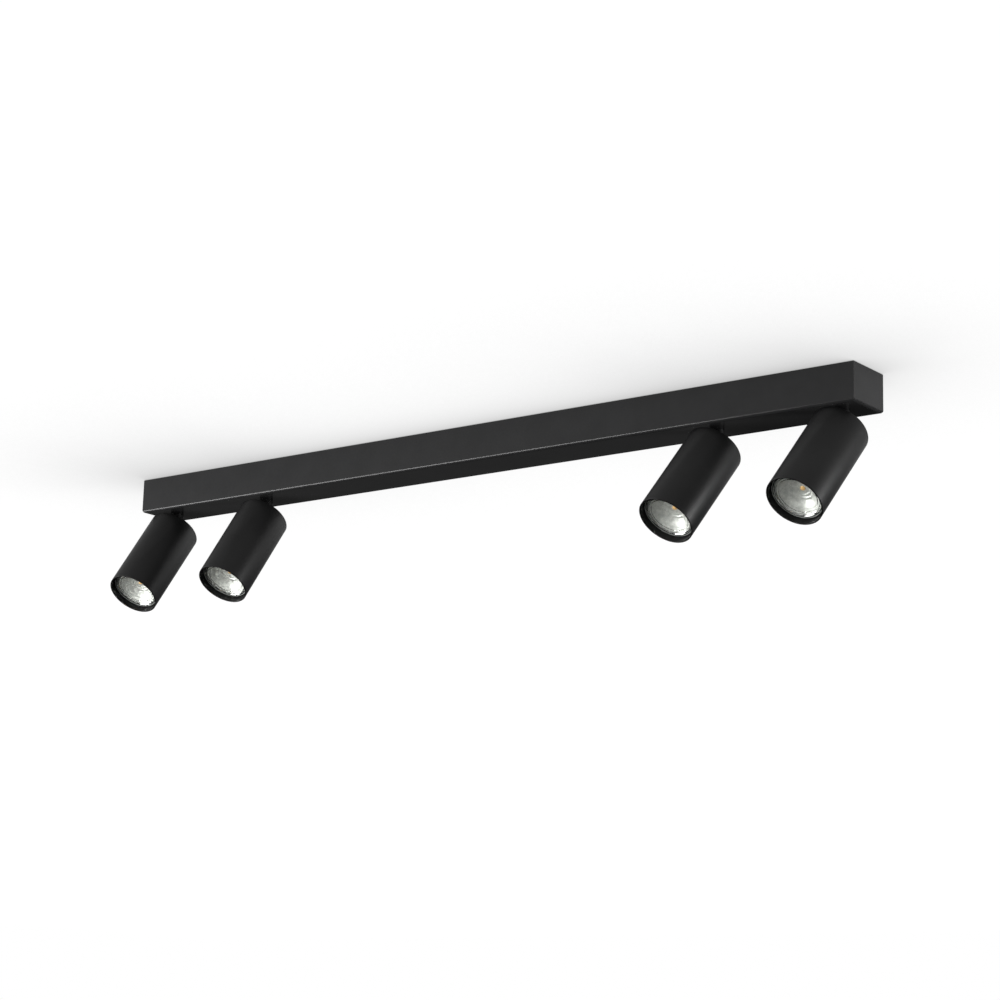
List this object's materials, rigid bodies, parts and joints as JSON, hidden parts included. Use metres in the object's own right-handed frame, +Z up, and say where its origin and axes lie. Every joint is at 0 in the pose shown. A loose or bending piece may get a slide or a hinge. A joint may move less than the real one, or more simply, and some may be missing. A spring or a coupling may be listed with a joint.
{
  "type": "ceiling spot bar",
  "caption": "Black surface-mounted ceiling bar with paired cylindrical reflector-lamp spots, each on a short stem that swivels and tilts.",
  "frame": {"origin": "centre of the two ceiling-screw slots, on the ceiling plane", "axes": "+Z up into the ceiling, X along the bar, -Y towards the side the spots point to"},
  "size_m": [0.8954, 0.1166, 0.1537],
  "materials": {
    "bar_paint": "fine matte black powder coat on folded steel",
    "spot_paint": "satin black powder coat on aluminium tube",
    "stem_paint": "satin black lacquer on turned steel",
    "zinc_steel": "bright zinc plating on steel",
    "black_screw": "black oxide on steel",
    "brass": "plain turned brass",
    "black_rubber": "matte moulded rubber",
    "ivory_plastic": "moulded ivory plastic",
    "lead_sleeve": "black braided glass sleeve on silicone cores",
    "white_ceramic": "unglazed white ceramic",
    "lamp_shell": "white moulded lamp shell",
    "lamp_mirror": "aluminised pressed-glass reflector",
    "lamp_glass": "clear pressed glass with rings"
  },
  "bodies": {
    "bar": {"bar_housing": "bar_paint", "ceiling_bracket": "zinc_steel", "bracket_screws": "black_screw", "cable_grommet": "black_rubber", "terminal_block": "ivory_plastic", "terminal_screws": "brass", "plate_screws": "zinc_steel", "internal_leads": "lead_sleeve"},
    "swivel_1": {"swivel_stem_1": "stem_paint", "lock_nut_1": "zinc_steel", "stop_washer_1": "zinc_steel", "hinge_screw_1": "black_screw"},
    "spot_1": {"spot_bracket_1": "zinc_steel", "spot_screws_1": "black_screw", "rear_cap_1": "spot_paint", "spot_tube_1": "spot_paint", "lamp_holder_1": "white_ceramic", "lamp_leads_1": "lead_sleeve", "lamp_base_1": "lamp_shell", "lamp_reflector_1": "lamp_mirror", "lamp_glass_1": "lamp_glass"},
    "swivel_2": {"swivel_stem_2": "stem_paint", "lock_nut_2": "zinc_steel", "stop_washer_2": "zinc_steel", "hinge_screw_2": "black_screw"},
    "spot_2": {"spot_bracket_2": "zinc_steel", "spot_screws_2": "black_screw", "rear_cap_2": "spot_paint", "spot_tube_2": "spot_paint", "lamp_holder_2": "white_ceramic", "lamp_leads_2": "lead_sleeve", "lamp_base_2": "lamp_shell", "lamp_reflector_2": "lamp_mirror", "lamp_glass_2": "lamp_glass"},
    "swivel_3": {"swivel_stem_3": "stem_paint", "lock_nut_3": "zinc_steel", "stop_washer_3": "zinc_steel", "hinge_screw_3": "black_screw"},
    "spot_3": {"spot_bracket_3": "zinc_steel", "spot_screws_3": "black_screw", "rear_cap_3": "spot_paint", "spot_tube_3": "spot_paint", "lamp_holder_3": "white_ceramic", "lamp_leads_3": "lead_sleeve", "lamp_base_3": "lamp_shell", "lamp_reflector_3": "lamp_mirror", "lamp_glass_3": "lamp_glass"},
    "swivel_4": {"swivel_stem_4": "stem_paint", "lock_nut_4": "zinc_steel", "stop_washer_4": "zinc_steel", "hinge_screw_4": "black_screw"},
    "spot_4": {"spot_bracket_4": "zinc_steel", "spot_screws_4": "black_screw", "rear_cap_4": "spot_paint", "spot_tube_4": "spot_paint", "lamp_holder_4": "white_ceramic", "lamp_leads_4": "lead_sleeve", "lamp_base_4": "lamp_shell", "lamp_reflector_4": "lamp_mirror", "lamp_glass_4": "lamp_glass"}
  },
  "joints": [
    {"name": "swivel_turn_1", "type": "hinge", "parent": "bar", "child": "swivel_1", "pos_m": [-0.4205, 0, -0.037], "axis": [0, 0, 1], "range_deg": [-171, 169]},
    {"name": "spot_tilt_1", "type": "hinge", "parent": "swivel_1", "child": "spot_1", "pos_m": [-0.4205, 0, -0.0515], "axis": [-0.9998, -0.0175, 0], "range_deg": [-75.4, 4.6]},
    {"name": "swivel_turn_2", "type": "hinge", "parent": "bar", "child": "swivel_2", "pos_m": [-0.2865, 0, -0.037], "axis": [0, 0, 1], "range_deg": [-168, 172]},
    {"name": "spot_tilt_2", "type": "hinge", "parent": "swivel_2", "child": "spot_2", "pos_m": [-0.2865, 0, -0.0515], "axis": [-0.9994, 0.0349, 0], "range_deg": [-74, 6]},
    {"name": "swivel_turn_3", "type": "hinge", "parent": "bar", "child": "swivel_3", "pos_m": [0.2865, 0, -0.037], "axis": [0, 0, 1], "range_deg": [-156.3, 183.7]},
    {"name": "spot_tilt_3", "type": "hinge", "parent": "swivel_3", "child": "spot_3", "pos_m": [0.2865, 0, -0.0515], "axis": [-0.9715, 0.2368, 0], "range_deg": [-77.9, 2.1]},
    {"name": "swivel_turn_4", "type": "hinge", "parent": "bar", "child": "swivel_4", "pos_m": [0.4205, 0, -0.037], "axis": [0, 0, 1], "range_deg": [-159.5, 180.5]},
    {"name": "spot_tilt_4", "type": "hinge", "parent": "swivel_4", "child": "spot_4", "pos_m": [0.4205, 0, -0.0515], "axis": [-0.9833, 0.1822, 0], "range_deg": [-79.3, 0.7]}
  ]
}
